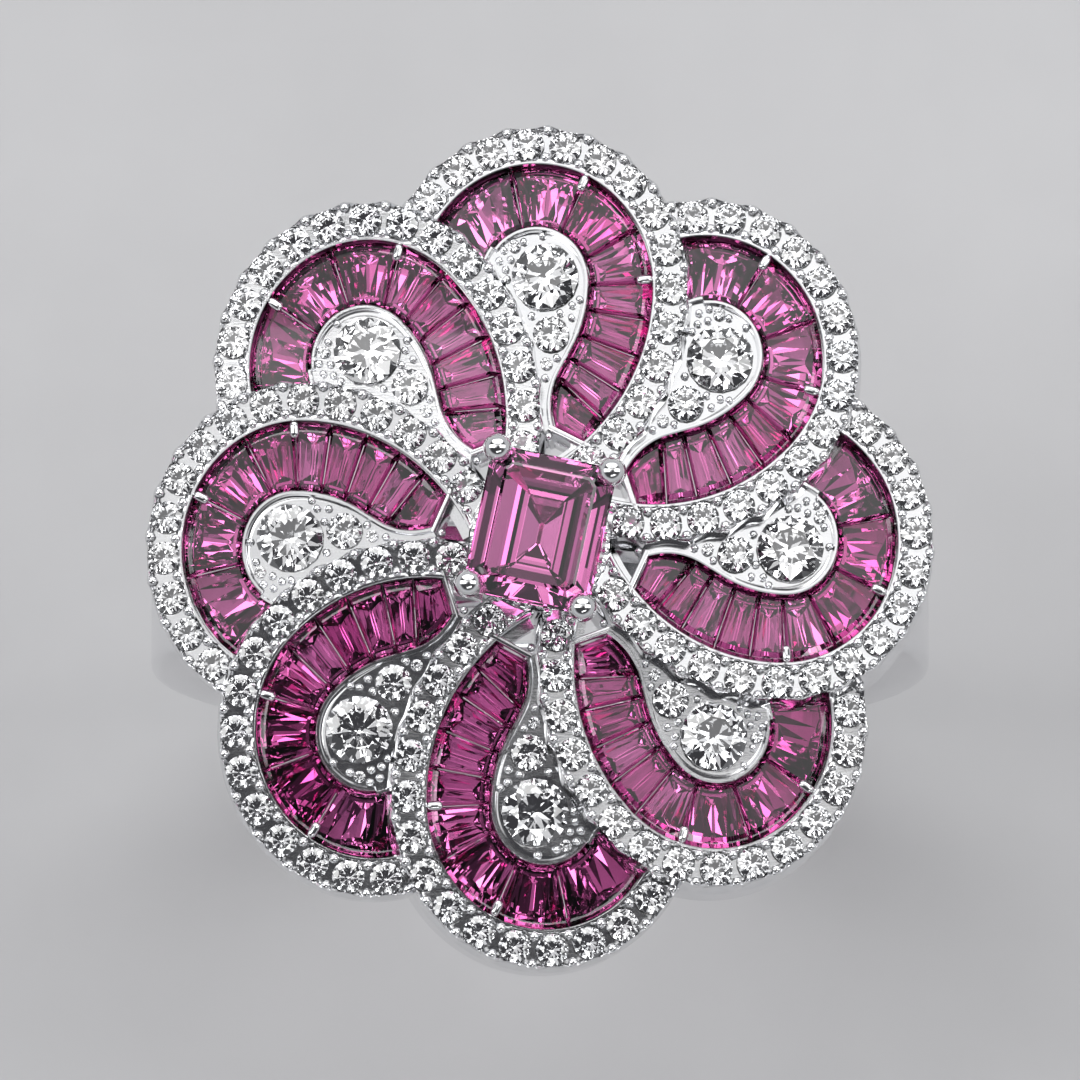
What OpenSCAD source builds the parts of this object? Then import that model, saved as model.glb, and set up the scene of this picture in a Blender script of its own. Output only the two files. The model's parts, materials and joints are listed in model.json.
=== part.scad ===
// Flower-head cocktail ring: eight overlapping petals round a raised centre stone.
// The finger's axis is Y, the head faces +Z, and the origin is the centre of the finger hole.

/* [Shank] */
// Inside diameter of the finger hole
finger_d = 17.3; // [14:0.1:22]
// Thickness of the shank
shank_t = 1.5; // [1.2:0.1:2.5]
// Width of the shank along the finger
shank_w = 2.4; // [1.8:0.1:4]
// Bevel on the shank's four edges
shank_edge = 0.25; // [0.1:0.05:0.4]
// Angle above the horizontal at which a shoulder starts on the shank
shoulder_start = 20; // [5:1:35]

/* [Gallery] */
// Distance from the petals' top plane down to the gallery ring's underside
gallery_drop = 4; // [3.5:0.05:4.3]
// Height of the gallery ring
gallery_h = 0.9; // [0.6:0.05:1.4]
// Width of the gallery ring
gallery_w = 0.9; // [0.7:0.05:1.3]
// Diameter of the posts that carry the petals
post_d = 0.7; // [0.5:0.05:0.8]

/* [Head] */
// Height of the petals' top plane over the outside of the shank
head_rise = 3.25; // [3:0.05:5.5]
// Length of the head along the finger divided by its width across
head_oval = 1.086; // [0.95:0.005:1.15]
// How much a petal's clockwise side is raised, in degrees
petal_tilt = 5; // [2:0.5:8]
// How much a petal's tip drops below the centre, in degrees
petal_droop = 4; // [0:0.5:8]
// Height of a petal's outer wall
petal_h = 1.9; // [1.5:0.05:2.2]

/* [Petal outline] */
// Distance from the head's centre to the centre of a petal's round tip
lobe_out = 6.06; // [5.8:0.02:6.4]
// Sideways place of that centre, clockwise positive
lobe_side = -0.14; // [-0.3:0.02:0.1]
// Radius of the stone channel's outer edge round the tip
lobe_r = 3; // [2.8:0.02:3.2]
// Radius of the channel's outer edge where it sweeps in to the centre
sweep_r = 4.8; // [4.6:0.05:5]
// Angle of that sweep, in degrees
sweep_angle = 50.5; // [48:0.5:52]
// Width of the diamond rim outside the channel
rim_w = 0.95; // [0.85:0.01:1.05]
// Width of the plain metal wall beside the channel
wall = 0.14; // [0.1:0.01:0.18]
// Distance from the head's centre to the centre of the drop-shaped eye
eye_out = 6.2; // [6:0.02:6.4]
// Sideways place of the eye's centre
eye_side = -0.12; // [-0.2:0.02:0]
// Radius of the eye at the channel's inner edge
eye_r = 1.35; // [1.3:0.01:1.5]
// Radius of the waist below the eye
waist_r = 3.2; // [3:0.05:3.6]
// Angle of the waist, in degrees
waist_angle = 30; // [26:1:34]
// Straight length below the waist
neck_len = 0.6; // [0.5:0.02:0.7]
// Radius of the tail that turns back to the channel's end
tail_r = 1.7; // [1.5:0.05:1.9]
// Angle of the tail, in degrees
tail_angle = 47; // [42:1:50]

/* [Pink stones] */
// Lengths of the tapered stones along the channel's outer edge, as shares, from the tip inward
calibre_shares = [2.05, 2, 1.85, 1.35, 0.95, 0.95, 0.95, 0.8, 0.75];
// Depth of the stones' flat tops below the rim
calibre_drop = 0.12; // [0.05:0.01:0.2]
// Height of a stone above the ledge that it sits on
calibre_crown = 0.6; // [0.4:0.05:0.7]
// Depth of a stone below that ledge
calibre_keel = 0.5; // [0.3:0.05:0.6]
// Width of the ledge on each side of the channel
ledge_w = 0.26; // [0.2:0.01:0.3]
// Gap between a stone and the metal round it
stone_gap = 0.02; // [0.01:0.005:0.04]
// Gap between neighbouring stones in a channel
calibre_kerf = 0.03; // [0.02:0.01:0.06]
// Width of a bar prong over a joint between two stones
prong_w = 0.14; // [0.1:0.01:0.2]
// Reach of a bar prong over the stones
prong_len = 0.42; // [0.3:0.02:0.6]

/* [Diamonds] */
// Diameter of a rim diamond
rim_stone_d = 0.82; // [0.68:0.01:0.86]
// Least distance between the centres of rim diamonds
rim_pitch = 0.93; // [0.9:0.01:1.2]
// Diameter of the large diamond in the eye
eye_stone_d = 1.7; // [1.4:0.05:1.75]
// Diameter of the second diamond, below the large one
second_stone_d = 0.92; // [0.7:0.02:0.94]
// Diameter of the small diamonds at the eye's two ends
small_stone_d = 0.3; // [0.25:0.01:0.32]
// Diameter of the holes under the large and second diamonds
azure_d = 0.5; // [0.3:0.05:0.7]
// Radius of the metal beads that hold the rim diamonds
bead_r = 0.13; // [0.1:0.01:0.14]

/* [Centre stone] */
// Width of the centre stone
centre_w = 3.2; // [2.8:0.05:3.4]
// Length of the centre stone
centre_l = 3.8; // [3.15:0.05:4]
// How far the stone's corners are cut back along each side
corner_cut = 0.45; // [0.3:0.05:0.8]
// Angle of the stone's long axis, clockwise from the finger's axis
centre_turn = 12; // [0:1:45]
// Height of the stone's widest edge above the petals' top plane
centre_rise = 1.5; // [1.2:0.05:2.2]
// Height of the stone's crown
centre_crown = 0.5; // [0.35:0.05:0.7]
// Width of the sloping bevel round the stone's flat top
centre_bevel = 0.5; // [0.3:0.05:0.7]
// Depth of the stone's pavilion
centre_keel = 1.5; // [1.1:0.05:1.9]
// Diameter of the ball tips of the claws
claw_d = 0.73; // [0.6:0.01:0.85]
// Distance of a claw's centre outside the stone's cut corner
claw_out = 0.13; // [0.05:0.01:0.4]
// Outside radius of the basket's collar
collar_r = 1.8; // [1.7:0.02:1.86]
// Wall of the basket's collar
collar_t = 0.6; // [0.5:0.05:0.65]

/* [Hidden] */
$fn = 48;
petal_count = 8;
petal_step = 360 / petal_count;
finger_r = finger_d / 2;
shank_r = finger_r + shank_t;
head_z = shank_r + head_rise;
gallery_z = head_z - gallery_drop;
gallery_top = gallery_z + gallery_h;
radian = 180 / PI;
// How far the basket's collar stands over the petals and hangs under them
collar_lip = 0.05;
collar_skirt = 0.35;
// How much slimmer the basket is at its waist and its foot than at the collar
basket_waist = 0.45;
basket_foot_step = 0.1;
// Heights of the foot's top and the waist, as shares of the way from shank to collar
basket_foot_share = 0.25;
basket_waist_share = 0.6;
// How far the claws' balls stand over the girdle, and their wires run into the collar
claw_over = 0.3;
claw_root = 0.3;
// How much slimmer a claw's wire is than its ball
claw_step = 0.22;
// How far a shoulder's curve runs out from the shank, as a share of its radius, and at what angle
shoulder_bend = 0.4;
shoulder_lift = 8;
// Height and depth of the blocks that only cut other shapes
cutter = 6;

// Arc centres of a petal, in its own axes: x clockwise, y outward, z up
lobe_c = [lobe_side, lobe_out];
sweep_c = lobe_c + [lobe_r - sweep_r, 0];
eye_c = [eye_side, eye_out];
waist_c = eye_c + [eye_r - waist_r, 0];
neck_dir = [-sin(waist_angle), -cos(waist_angle)];
neck_side = [cos(waist_angle), -sin(waist_angle)];
tail_c = waist_c + (waist_r + tail_r) * neck_side + neck_len * neck_dir;
// Where the hidden starts of the arcs lie, under the next petal's rim
lobe_from = 155;
channel_from = 150;
eye_from = 165;
// The rim runs on past the channel's end until it meets the collar
rim_run_on = 13;
// The last rim diamond sits this far past the channel's end
rim_last = 2;
// Metal left between the first rim diamond and the next petal's rim
rim_air = 0.05;
// How far the rim's beads stay inside the rim's edges
bead_inset = 0.01;
// How far the bar prongs stand over the petal, and how far outside the channel they start
prong_over = 0.03;
prong_root = 0.5;
// The centre stone's widest edge is this high
centre_girdle = 0.12;
// The ridge under the centre stone: its width, and its length as a share of the stone's
keel_w = 0.2;
keel_share = 0.45;
// Height of the thin slabs that the centre stone's slopes run between
sliver = 0.01;

metal = [0.86, 0.87, 0.89];
pink = [0.76, 0.2, 0.5];
diamond = [0.93, 0.95, 0.98];

// A point turned by an angle about the origin
function turned(p, a) = [p.x * cos(a) - p.y * sin(a), p.x * sin(a) + p.y * cos(a)];
// A point of the round plan moved to the oval head
function stretched(p) = [p.x, p.y * head_oval];
// The same move for a point in petal k's axes
function on_head(k, p) = turned(stretched(turned(p, -petal_step * k)), petal_step * k);
function all_on_head(k, points) = [for (p = points) on_head(k, p)];
// Points along an arc
function on_arc(c, r, a) = c + r * [cos(a), sin(a)];
function arc(c, r, from, to, steps) =
    [for (i = [0 : steps]) on_arc(c, r, from + (to - from) * i / steps)];
function sum(values, count) = count == 0 ? 0 : values[count - 1] + sum(values, count - 1);

// Outline of a whole petal, grown outward by e
function petal_outline(e) = concat(
    arc(lobe_c, lobe_r + rim_w + e, lobe_from, 0, 20),
    arc(sweep_c, sweep_r + rim_w + e, -5, -sweep_angle - rim_run_on, 10),
    [
        on_arc(sweep_c, sweep_r, -sweep_angle - rim_run_on),
        on_arc(sweep_c, sweep_r, -sweep_angle - wall / sweep_r * radian),
        on_arc(tail_c, tail_r, 180 - waist_angle + tail_angle + wall / tail_r * radian),
        on_arc(tail_c, tail_r + 1, 180 - waist_angle + tail_angle - 12)
    ]
);

// Outline of the stone channel, shrunk by e on every side
function channel_outline(e) = concat(
    arc(lobe_c, lobe_r - e, channel_from, 0, 20),
    arc(sweep_c, sweep_r - e, -5, -sweep_angle + e / sweep_r * radian, 10),
    arc(tail_c, tail_r - e, 180 - waist_angle + tail_angle - e / tail_r * radian, 180 - waist_angle, 8),
    arc(waist_c, waist_r + e, -waist_angle, 0, 6),
    arc(eye_c, eye_r + e, 10, eye_from, 16)
);

// Length along the channel's outer edge, and the arc centre, radius and angle at a length
lobe_len = lobe_r * channel_from / radian;
sweep_len = sweep_r * sweep_angle / radian;
edge_len = lobe_len + sweep_len;
// Part of the outer edge that the next petal's rim hides
hidden_len = lobe_r * 9 / radian;
shown_len = edge_len - hidden_len;
function arc_at(s) = s < lobe_len
    ? [lobe_c, lobe_r, channel_from - s / lobe_r * radian]
    : [sweep_c, sweep_r, -(s - lobe_len) / sweep_r * radian];
function edge_point(s, inward) = on_arc(arc_at(s)[0], arc_at(s)[1] - inward, arc_at(s)[2]);
calibre_count = len(calibre_shares);
function joint_at(i) = i == 0
    ? 0
    : hidden_len + shown_len * sum(calibre_shares, i) / sum(calibre_shares, calibre_count);
// Petals take their bar prongs at alternate joints
function prong_joints(k) = k % 2 == 0 ? [2, 4] : [1, 3];

// Rim diamonds: evenly spaced from the next petal's rim to the collar
rim_mid_r = lobe_r + rim_w / 2;
rim_clear = lobe_r + rim_w + rim_stone_d / 2 + rim_air;
next_c = turned(lobe_c, petal_step);
lobe_gap = norm(lobe_c - next_c);
rim_bend = acos((rim_clear * rim_clear - lobe_gap * lobe_gap - rim_mid_r * rim_mid_r)
    / (2 * lobe_gap * rim_mid_r));
rim_from = atan2(lobe_c.y - next_c.y, lobe_c.x - next_c.x) + rim_bend;
rim_lobe_len = rim_mid_r * rim_from / radian;
rim_sweep_r = sweep_r + rim_w / 2;
rim_len = rim_lobe_len + rim_sweep_r * (sweep_angle + rim_last) / radian;
rim_count = floor(rim_len / rim_pitch) + 1;
rim_step = rim_len / (rim_count - 1);
function rim_point(s, outward) = s < rim_lobe_len
    ? on_arc(lobe_c, rim_mid_r + outward, rim_from - s / rim_mid_r * radian)
    : on_arc(sweep_c, rim_sweep_r + outward, -(s - rim_lobe_len) / rim_sweep_r * radian);

// Eye diamonds: place in the petal's axes, then diameter
eye_stones = [
    [0.12, 6.33, eye_stone_d],
    [0.27, 4.95, second_stone_d],
    [0.15, 4.25, small_stone_d],
    [-0.66, 7.1, small_stone_d]
];

// Proportions of a round diamond, as shares of its diameter
crown_share = 0.15;
table_share = 0.56;
girdle_share = 0.04;
pavilion_share = 0.43;
// Depth of a diamond's widest edge below the metal's surface
girdle_drop = 0.03;

// Puts its children in petal k's own axes
module in_petal(k) {
    rotate([0, 0, -petal_step * k])
        translate([0, 0, head_z])
            rotate([-petal_droop, 0, 0])
                rotate([0, -petal_tilt, 0])
                    children();
}

// A straight-sided block over an outline of petal k
module block(k, points, bottom, height) {
    translate([0, 0, bottom])
        linear_extrude(height)
            polygon(all_on_head(k, points));
}

// The space that the next petal anticlockwise takes from petal k, grown by e
module neighbour(k, e) {
    in_petal(k - 1)
        block(k - 1, petal_outline(e), -cutter, 2 * cutter);
}

// A round diamond with its widest edge at z = 0
module round_diamond(d) {
    rotate_extrude($fn = 32)
        polygon([
            [0, -pavilion_share * d],
            [d / 2, -girdle_share * d],
            [d / 2, 0],
            [table_share * d / 2, crown_share * d],
            [0, crown_share * d]
        ]);
}

// The seat that is cut for such a diamond
module diamond_seat(d) {
    r = d / 2 + stone_gap;
    rotate_extrude($fn = 32)
        polygon([
            [0, -pavilion_share * d - 2 * stone_gap],
            [r, -girdle_share * d - stone_gap],
            [r, d],
            [0, d]
        ]);
}

// Centre stone, grown by e: a cut-corner block with sloping crown and pavilion
module centre_octagon(e) {
    x = centre_w / 2 + e;
    y = centre_l / 2 + e;
    polygon([
        [x, y - corner_cut],
        [x - corner_cut, y],
        [corner_cut - x, y],
        [-x, y - corner_cut],
        [-x, corner_cut - y],
        [corner_cut - x, -y],
        [x - corner_cut, -y],
        [x, corner_cut - y]
    ]);
}

module centre_slab(z, e) {
    translate([0, 0, z])
        linear_extrude(sliver)
            centre_octagon(e);
}

module centre_shape(e) {
    rotate([0, 0, -centre_turn])
        translate([0, 0, head_z + centre_rise]) {
            translate([0, 0, -centre_girdle / 2 - e])
                linear_extrude(centre_girdle + 2 * e)
                    centre_octagon(e);
            hull() {
                centre_slab(centre_girdle / 2 + e, e);
                centre_slab(centre_crown + e, e - centre_bevel);
            }
            hull() {
                centre_slab(-centre_girdle / 2 - e, e);
                translate([0, 0, -centre_keel])
                    cube([keel_w, centre_l * keel_share, 2 * sliver], center = true);
            }
        }
}

// Finger shank: a round band, flat inside and out, with bevelled edges
module shank() {
    half = shank_w / 2;
    color(metal)
        rotate([90, 0, 0])
            rotate_extrude($fn = 96)
                polygon([
                    [finger_r, shank_edge - half],
                    [finger_r + shank_edge, -half],
                    [shank_r - shank_edge, -half],
                    [shank_r, shank_edge - half],
                    [shank_r, half - shank_edge],
                    [shank_r - shank_edge, half],
                    [finger_r + shank_edge, half],
                    [finger_r, half - shank_edge]
                ]);
}

// The shank's outer cylinder, as a cutter for what is soldered to it
module shank_cutter() {
    rotate([90, 0, 0])
        cylinder(r = shank_r, h = 4 * shank_w, center = true, $fn = 96);
}

// Shoulder: a gusset between the shank and the gallery ring, on the +X side
module shoulder() {
    top_in = [gallery_r - gallery_w / 2, gallery_z];
    top_out = [gallery_r + gallery_w / 2, gallery_z];
    foot = on_arc([0, 0], shank_r, shoulder_start);
    bend = on_arc(foot, shoulder_bend * shank_r, 90 + shoulder_start - shoulder_lift);
    side = [for (i = [0 : 8]) let (t = i / 8)
        (1 - t) * (1 - t) * top_out + 2 * t * (1 - t) * bend + t * t * foot];
    color(metal)
        difference() {
            rotate([90, 0, 0])
                linear_extrude(shank_w - 2 * shank_edge, center = true)
                    polygon(concat([top_in], side, [[top_in.x, foot.y]]));
            shank_cutter();
        }
}

module shoulder_left() {
    mirror([1, 0, 0])
        shoulder();
}

module shoulder_right() {
    shoulder();
}

// Gallery ring: an oval ring under the middle of the rims
post_place = on_arc(lobe_c, rim_mid_r, 0);
gallery_r = norm(post_place);
module gallery_oval(r) {
    polygon([for (a = [0 : 5 : 355]) stretched(on_arc([0, 0], r, a))]);
}

module gallery_ring() {
    color(metal)
        translate([0, 0, gallery_z])
            linear_extrude(gallery_h)
                difference() {
                    gallery_oval(gallery_r + gallery_w / 2);
                    gallery_oval(gallery_r - gallery_w / 2);
                }
}

// Posts from the gallery ring up to the underside of each petal's rim
module gallery_posts() {
    color(metal)
        for (k = [0 : petal_count - 1])
            difference() {
                rotate([0, 0, -petal_step * k])
                    translate(on_head(k, post_place))
                        translate([0, 0, gallery_top])
                            cylinder(d = post_d, h = head_z - gallery_top, $fn = 24);
                in_petal(k)
                    translate([-2 * cutter, -2 * cutter, -petal_h])
                        cube([4 * cutter, 4 * cutter, cutter]);
            }
}

// Basket: a turned cup on the shank that the petals' inner ends meet
collar_top = head_z + collar_lip;
collar_foot = head_z - petal_h - collar_skirt;
module centre_basket() {
    inner_r = collar_r - collar_t;
    hole_r = inner_r - basket_waist;
    waist = collar_r - basket_waist;
    foot_r = collar_r - basket_foot_step;
    foot_top = shank_r + basket_foot_share * (collar_foot - shank_r);
    waist_z = shank_r + basket_waist_share * (collar_foot - shank_r);
    color(metal)
        difference() {
            rotate_extrude($fn = 64)
                polygon([
                    [hole_r, finger_r],
                    [foot_r, finger_r],
                    [foot_r, foot_top],
                    [waist, waist_z],
                    [collar_r, collar_foot],
                    [collar_r, collar_top],
                    [inner_r, collar_top],
                    [hole_r, collar_foot]
                ]);
            shank_cutter();
        }
}

// Claws: four leaning wires with ball tips, notched for the stone's corners
claw_across = centre_w / 2 - corner_cut / 2 + claw_out * sqrt(0.5);
claw_along = centre_l / 2 - corner_cut / 2 + claw_out * sqrt(0.5);
claw_reach = norm([claw_across, claw_along]);
module centre_claws() {
    ball_z = head_z + centre_rise + claw_over;
    base_r = collar_r - (claw_d - claw_step) / 2 - stone_gap;
    lean = atan2(claw_reach - base_r, ball_z - collar_top);
    wire = norm([claw_reach - base_r, ball_z - collar_top]);
    color(metal)
        difference() {
            for (corner = [[1, 1], [-1, 1], [-1, -1], [1, -1]])
                rotate([0, 0, atan2(corner.y * claw_along, corner.x * claw_across) - centre_turn])
                    translate([base_r, 0, collar_top])
                        rotate([0, lean, 0]) {
                            translate([0, 0, -claw_root])
                                cylinder(d = claw_d - claw_step, h = wire + claw_root, $fn = 24);
                            translate([0, 0, wire])
                                sphere(d = claw_d, $fn = 24);
                        }
            centre_shape(stone_gap);
            translate([-cutter, -cutter, collar_top - cutter])
                cube([2 * cutter, 2 * cutter, cutter]);
        }
}

module centre_stone() {
    color(pink)
        centre_shape(0);
}

// Petal casting: rim, channel and eye plate in one piece, with seats and beads
module petal_frame(k) {
    ledge_z = -calibre_drop - calibre_crown;
    color(metal)
        difference() {
            in_petal(k)
                difference() {
                    union() {
                        block(k, petal_outline(0), -petal_h, petal_h);
                        rim_beads(k);
                    }
                    rim_seats(k);
                    eye_seats(k);
                }
            difference() {
                in_petal(k) {
                    block(k, channel_outline(0), ledge_z, cutter);
                    block(k, channel_outline(ledge_w), -cutter, cutter);
                }
                neighbour(k, wall);
            }
            neighbour(k, 0);
            cylinder(r = collar_r, h = 4 * head_z, $fn = 64);
        }
}

// Beads in pairs between the rim diamonds
module rim_beads(k) {
    side = rim_w / 2 - bead_r - bead_inset;
    for (i = [0 : rim_count - 2], outward = [-side, side])
        translate(on_head(k, rim_point((i + 0.5) * rim_step, outward)))
            sphere(r = bead_r, $fn = 16);
}

module rim_seats(k) {
    for (i = [0 : rim_count - 1])
        translate(on_head(k, rim_point(i * rim_step, 0)))
            translate([0, 0, -girdle_drop])
                diamond_seat(rim_stone_d);
}

module eye_seats(k) {
    for (stone = eye_stones)
        translate(on_head(k, [stone.x, stone.y]))
            translate([0, 0, -girdle_drop])
                diamond_seat(stone.z);
    for (stone = [eye_stones[0], eye_stones[1]])
        translate(on_head(k, [stone.x, stone.y]))
            translate([0, 0, -cutter])
                cylinder(d = azure_d, h = cutter - pavilion_share * stone.z / 2, $fn = 24);
}

// Tapered pink stones, each cut to its stretch of the channel
module petal_calibre(k) {
    ledge_z = -calibre_drop - calibre_crown;
    color(pink)
        difference() {
            for (i = [0 : calibre_count - 1])
                in_petal(k) {
                    calibre_slice(k, i, stone_gap, ledge_z + stone_gap, calibre_crown - stone_gap);
                    calibre_slice(k, i, ledge_w + stone_gap, ledge_z - calibre_keel,
                        calibre_keel + 2 * stone_gap);
                }
            neighbour(k, wall + stone_gap);
        }
}

module calibre_slice(k, i, inset, bottom, height) {
    from = joint_at(i) + calibre_kerf / 2;
    to = joint_at(i + 1) - calibre_kerf / 2;
    outside = -1;
    inside = 1.9;
    translate([0, 0, bottom])
        linear_extrude(height)
            intersection() {
                polygon(all_on_head(k, channel_outline(inset)));
                polygon(all_on_head(k, [
                    edge_point(from, outside),
                    edge_point(to, outside),
                    edge_point(to, inside),
                    edge_point(from, inside)
                ]));
            }
}

// Bar prongs that reach from the channel's outer wall over the joints
module petal_prongs(k) {
    color(metal)
        in_petal(k)
            for (i = prong_joints(k))
                translate([0, 0, stone_gap - calibre_drop])
                    linear_extrude(calibre_drop + prong_over)
                        intersection() {
                            polygon(all_on_head(k, channel_outline(0)));
                            prong_bar(k, joint_at(i));
                        }
}

module prong_bar(k, s) {
    root = on_head(k, edge_point(s, -prong_root));
    tip = on_head(k, edge_point(s, prong_len - prong_w / 2));
    along = (tip - root) / norm(tip - root);
    across = [along.y, -along.x] * prong_w / 2;
    union() {
        polygon([root + across, tip + across, tip - across, root - across]);
        translate(tip)
            circle(d = prong_w, $fn = 16);
    }
}

module petal_rim_diamonds(k) {
    color(diamond)
        in_petal(k)
            for (i = [0 : rim_count - 1])
                translate(on_head(k, rim_point(i * rim_step, 0)))
                    translate([0, 0, -girdle_drop])
                        round_diamond(rim_stone_d);
}

module petal_eye_diamonds(k) {
    color(diamond)
        in_petal(k)
            for (stone = eye_stones)
                translate(on_head(k, [stone.x, stone.y]))
                    translate([0, 0, -girdle_drop])
                        round_diamond(stone.z);
}

shank();
shoulder_left();
shoulder_right();
gallery_ring();
gallery_posts();
centre_basket();
centre_claws();
centre_stone();
for (k = [0 : petal_count - 1]) {
    name = str("petal_", k + 1);
    petal_frame(k);
    petal_calibre(k);
    petal_prongs(k);
    petal_rim_diamonds(k);
    petal_eye_diamonds(k);
}
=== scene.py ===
"""Looks of a flower-head cocktail ring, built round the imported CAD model.

Every length in the size classes is in millimetres, in the axes of the CAD model: the finger runs
along Y, the head faces +Z and the origin is the centre of the finger hole. Meshes are made in
millimetres with numpy and turned into metres when the Blender object is made.

A petal is drawn in its own axes: x clockwise round the head, y outward and z up from the petal's
metal. The round plan is stretched along the finger to make the oval head, and the petal is then
tilted and drooped into its place.
"""
import json
import logging
import math
from dataclasses import dataclass, field
from enum import Enum

import bpy
import numpy as np
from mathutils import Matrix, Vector


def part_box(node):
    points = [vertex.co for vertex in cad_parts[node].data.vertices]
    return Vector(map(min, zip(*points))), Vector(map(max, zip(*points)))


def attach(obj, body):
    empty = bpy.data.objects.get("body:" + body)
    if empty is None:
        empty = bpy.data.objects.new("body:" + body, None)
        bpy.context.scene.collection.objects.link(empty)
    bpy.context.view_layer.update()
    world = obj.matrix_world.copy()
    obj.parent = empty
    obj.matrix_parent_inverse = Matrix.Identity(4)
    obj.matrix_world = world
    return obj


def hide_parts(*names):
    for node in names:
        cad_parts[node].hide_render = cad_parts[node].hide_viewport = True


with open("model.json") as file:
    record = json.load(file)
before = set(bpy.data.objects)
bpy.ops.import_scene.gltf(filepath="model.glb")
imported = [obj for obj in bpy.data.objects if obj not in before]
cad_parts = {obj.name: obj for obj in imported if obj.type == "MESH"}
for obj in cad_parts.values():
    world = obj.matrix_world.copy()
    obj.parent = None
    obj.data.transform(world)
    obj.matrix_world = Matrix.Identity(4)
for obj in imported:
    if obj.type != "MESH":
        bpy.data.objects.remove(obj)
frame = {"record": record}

logging.basicConfig(level=logging.INFO, format="%(message)s")
log = logging.getLogger("ring")

MM = 0.001
BODY = "root"
PETALS = 8
STEP = 360.0 / PETALS
TINY = 1e-12
FACET_STEP = 45.0
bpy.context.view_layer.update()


class Slot(Enum):
    """Material slots of the record that the pieces take their finish from."""

    WHITE = "white_metal"
    SHANK = "shank_metal"
    CALIBRE = "pink_calibre"
    CENTRE = "pink_centre"
    DIAMOND = "diamond"


def box_mm(node: str) -> tuple[np.ndarray, np.ndarray]:
    """Lowest and highest corner of a CAD node, in millimetres."""
    low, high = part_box(node)
    return np.array(low) / MM, np.array(high) / MM


# --- sizes

@dataclass(frozen=True)
class PetalPlan:
    """Plan of one petal in its own axes, and how the petals sit on the head."""

    lobe: tuple[float, float] = (-0.14, 6.06)
    lobe_r: float = 3.0
    sweep_r: float = 4.8
    sweep_angle: float = 50.5
    rim_w: float = 0.95
    wall: float = 0.14
    eye: tuple[float, float] = (-0.12, 6.2)
    eye_r: float = 1.35
    waist_r: float = 3.2
    waist_angle: float = 30.0
    neck: float = 0.6
    tail_r: float = 1.7
    tail_angle: float = 47.0
    height: float = 1.9
    oval: float = 1.086
    tilt: float = 5.0
    droop: float = 4.0
    ledge_z: float = -0.72
    ledge_w: float = 0.26
    lobe_from: float = 150.0
    eye_from: float = 165.0
    hidden_angle: float = 9.0
    cover_angle: float = 51.0
    rim_run_on: float = 13.0

    @property
    def sweep_c(self) -> np.ndarray:
        """Centre of the arc that sweeps the channel's outer edge in to the middle."""
        return np.array(self.lobe) + [self.lobe_r - self.sweep_r, 0.0]

    @property
    def waist_c(self) -> np.ndarray:
        """Centre of the arc below the eye."""
        return np.array(self.eye) + [self.eye_r - self.waist_r, 0.0]

    @property
    def tail_c(self) -> np.ndarray:
        """Centre of the arc that turns the inner edge back to the channel's end."""
        a = math.radians(self.waist_angle)
        side = np.array([math.cos(a), -math.sin(a)])
        down = np.array([-math.sin(a), -math.cos(a)])
        return self.waist_c + (self.waist_r + self.tail_r) * side + self.neck * down


@dataclass(frozen=True)
class StoneSizes:
    """Sizes of the diamonds and of the tapered stones in the channels."""

    rim_d: float = 0.82
    rim_pitch: float = 0.93
    rim_air: float = 0.05
    rim_last: float = 2.0
    girdle_drop: float = 0.03
    eye_stones: tuple[tuple[float, float, float], ...] = (
        (0.12, 6.33, 1.7),
        (0.27, 4.95, 0.92),
        (0.15, 4.25, 0.3),
        (-0.66, 7.1, 0.3),
    )
    shares: tuple[float, ...] = (2.05, 2.0, 1.85, 1.35, 0.95, 0.95, 0.95, 0.8, 0.75)
    gap: float = 0.02
    kerf: float = 0.025
    table_z: float = -0.12
    tuck: float = 0.1


@dataclass(frozen=True)
class BrilliantCut:
    """Proportions of a round brilliant, as shares of its diameter."""

    table_r: float = 0.285
    star_r: float = 0.4
    girdle_r: float = 0.5
    deep_r: float = 0.12
    crown: float = 0.15
    half_girdle: float = 0.02
    pavilion: float = 0.43


@dataclass(frozen=True)
class CentreSizes:
    """Sizes of the centre stone, its basket and its claws."""

    width: float = 3.2
    length: float = 3.8
    corner: float = 0.45
    turn: float = 12.0
    rise: float = 1.5
    crown: float = 0.5
    keel: float = 1.5
    claw_d: float = 0.73
    claw_out: float = 0.13
    collar_r: float = 1.8
    collar_t: float = 0.6
    collar_rise: float = 0.05
    wire_d: float = 0.51


@dataclass(frozen=True)
class GallerySizes:
    """Sizes of the ring, posts and shoulders under the head."""

    width: float = 0.9
    post_d: float = 0.7
    shoulder_start: float = 20.0
    shoulder_bend: float = 0.4
    shoulder_inset: float = 0.25
    shoulder_root: float = 0.15
    edge: float = 0.16
    tuck: float = 0.05


PLAN = PetalPlan()
STONES = StoneSizes()
CENTRE = CentreSizes()
GALLERY = GallerySizes()
CUT = BrilliantCut()
HEAD_Z = float(box_mm("centre_basket")[1][2]) - CENTRE.collar_rise


# --- plan geometry

def turned(points: np.ndarray, degrees: float) -> np.ndarray:
    """Plan points, of shape (..., 2), turned anticlockwise about the origin."""
    a = math.radians(degrees)
    c, s = math.cos(a), math.sin(a)
    x, y = points[..., 0], points[..., 1]
    return np.stack([x * c - y * s, x * s + y * c], axis=-1)


def on_head(k: int, points: np.ndarray) -> np.ndarray:
    """Moves plan points of petal k from the round plan to the oval head, in the petal's axes.

    Args:
        k: Petal number, from 0 clockwise.
        points: Array of shape (..., 2) or (..., 3); a third value is kept as it is.

    Returns:
        An array of the same shape.
    """
    out = np.array(points, dtype=float)
    flat = turned(out[..., :2], -STEP * k)
    flat[..., 1] *= PLAN.oval
    out[..., :2] = turned(flat, STEP * k)
    return out


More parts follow.
